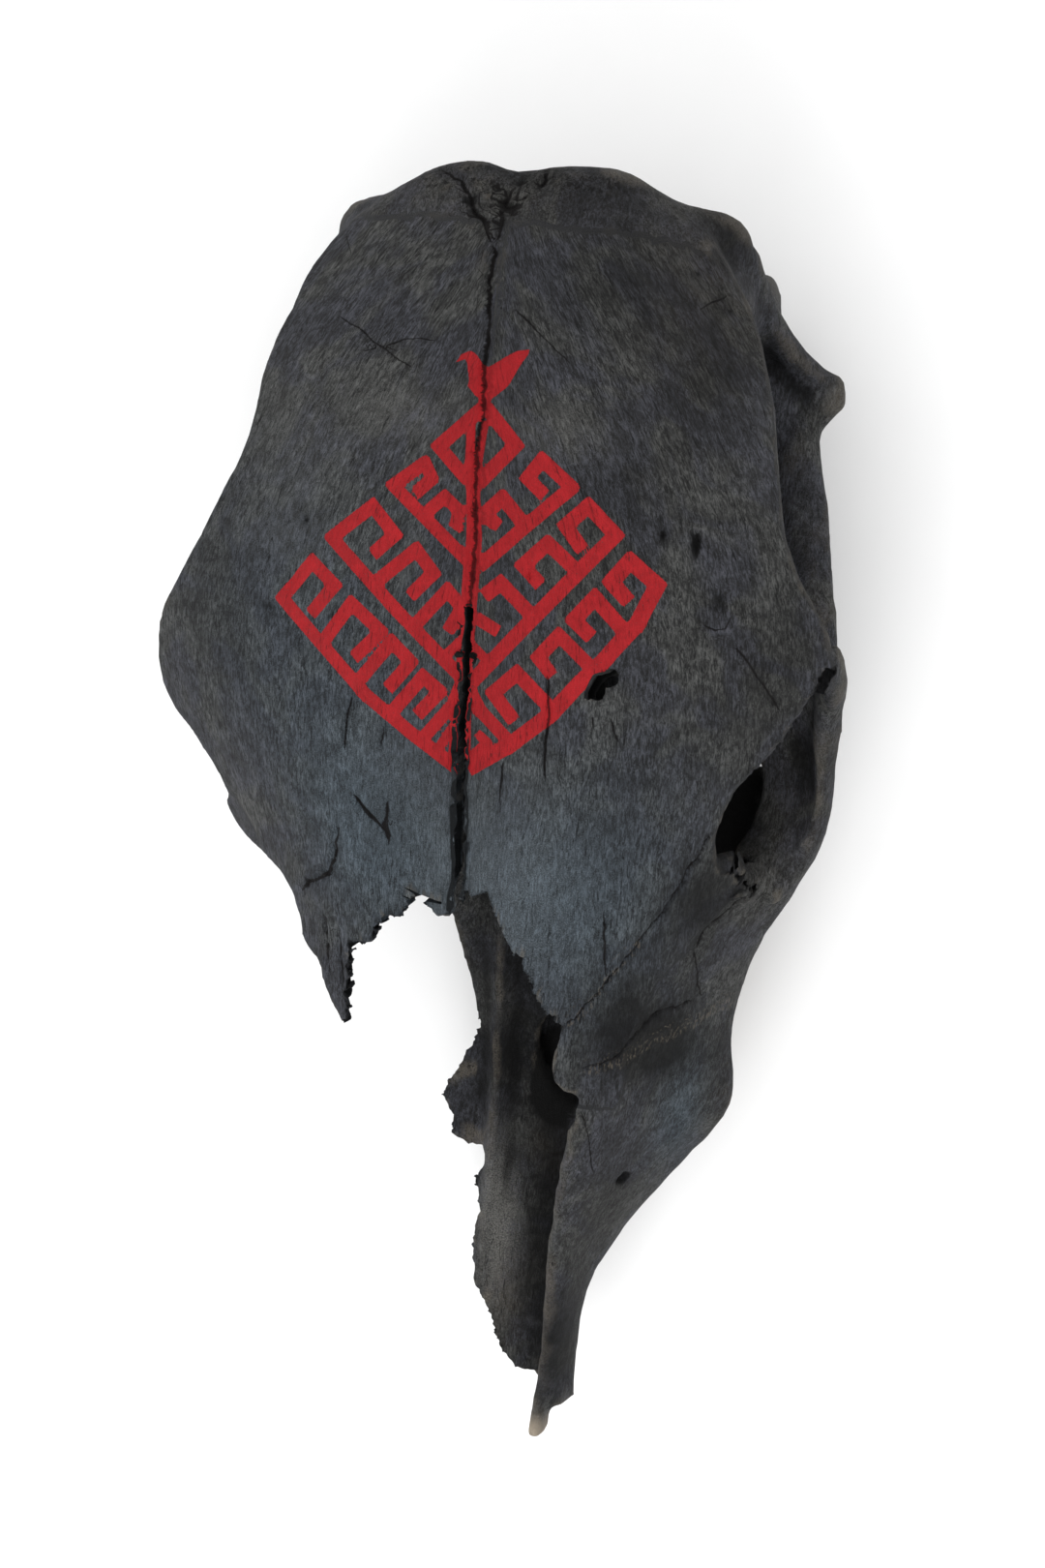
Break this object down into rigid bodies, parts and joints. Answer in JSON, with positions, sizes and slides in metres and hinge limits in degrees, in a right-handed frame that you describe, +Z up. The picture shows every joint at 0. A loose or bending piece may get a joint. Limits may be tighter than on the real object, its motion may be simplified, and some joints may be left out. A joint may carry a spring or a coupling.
{
  "type": "partial cow skull",
  "caption": "Weathered upper skull of a cow with a broken muzzle, one cheek arch, upper molars and a painted forehead; lies on its teeth.",
  "frame": {"origin": "on the surface it lies on, under the middle of its bounding box", "axes": "+X to the animal's left, +Y from the nose to the poll, +Z up out of the forehead"},
  "size_m": [0.221, 0.3967, 0.1833],
  "materials": {
    "bone": "dark grey weathered bone, matte and finely fibrous, with red paint on the forehead",
    "tooth": "old worn enamel"
  },
  "bodies": {
    "root": {"skull": "bone", "molar_1": "tooth", "molar_2": "tooth", "molar_3": "tooth"}
  },
  "joints": []
}
